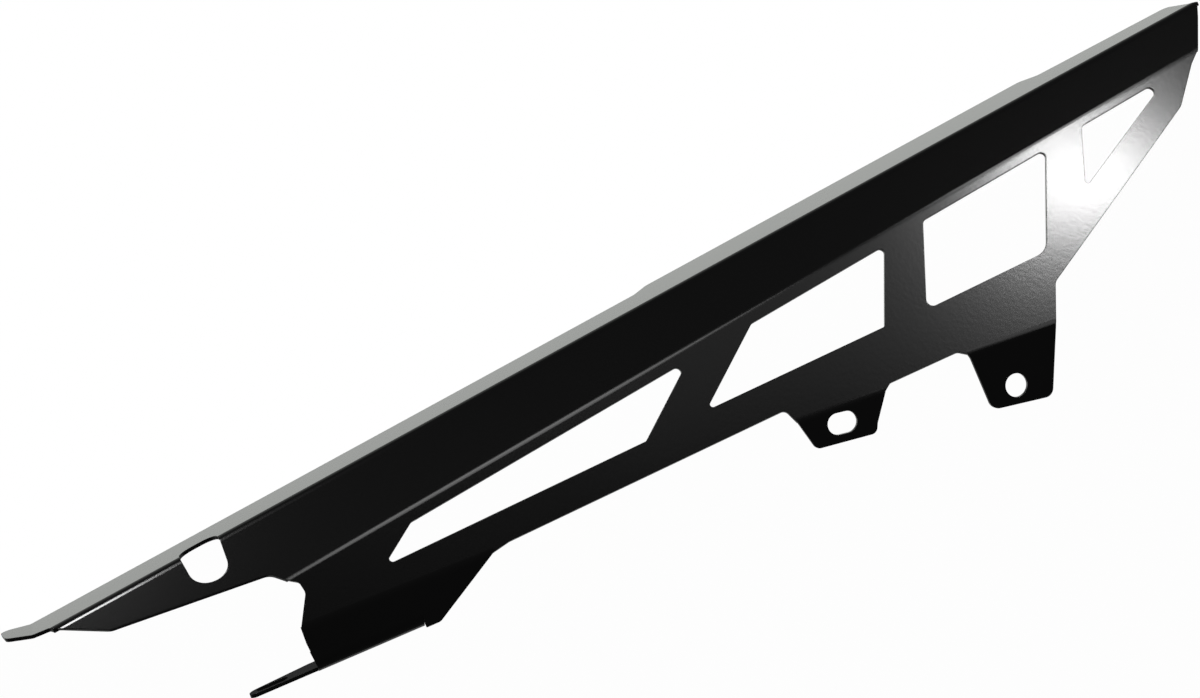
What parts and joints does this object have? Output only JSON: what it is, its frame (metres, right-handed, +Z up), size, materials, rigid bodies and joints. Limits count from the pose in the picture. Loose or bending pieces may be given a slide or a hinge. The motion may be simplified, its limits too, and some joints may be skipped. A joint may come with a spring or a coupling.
{
  "type": "motorcycle chain guard",
  "caption": "Folded sheet-metal motorcycle chain guard with a top flange, windowed side, two bolt tabs and a slotted foot.",
  "frame": {"origin": "centre of the round rear mounting hole, on the outer face of its tab", "axes": "+X toward the rear of the motorcycle, +Y inward over the chain, +Z up and square to the top flange"},
  "size_m": [0.5844, 0.0966, 0.111],
  "materials": {
    "powder_coated_sheet": "semi-gloss black powder coat"
  },
  "bodies": {
    "root": {"chain_guard": "powder_coated_sheet"}
  },
  "joints": []
}
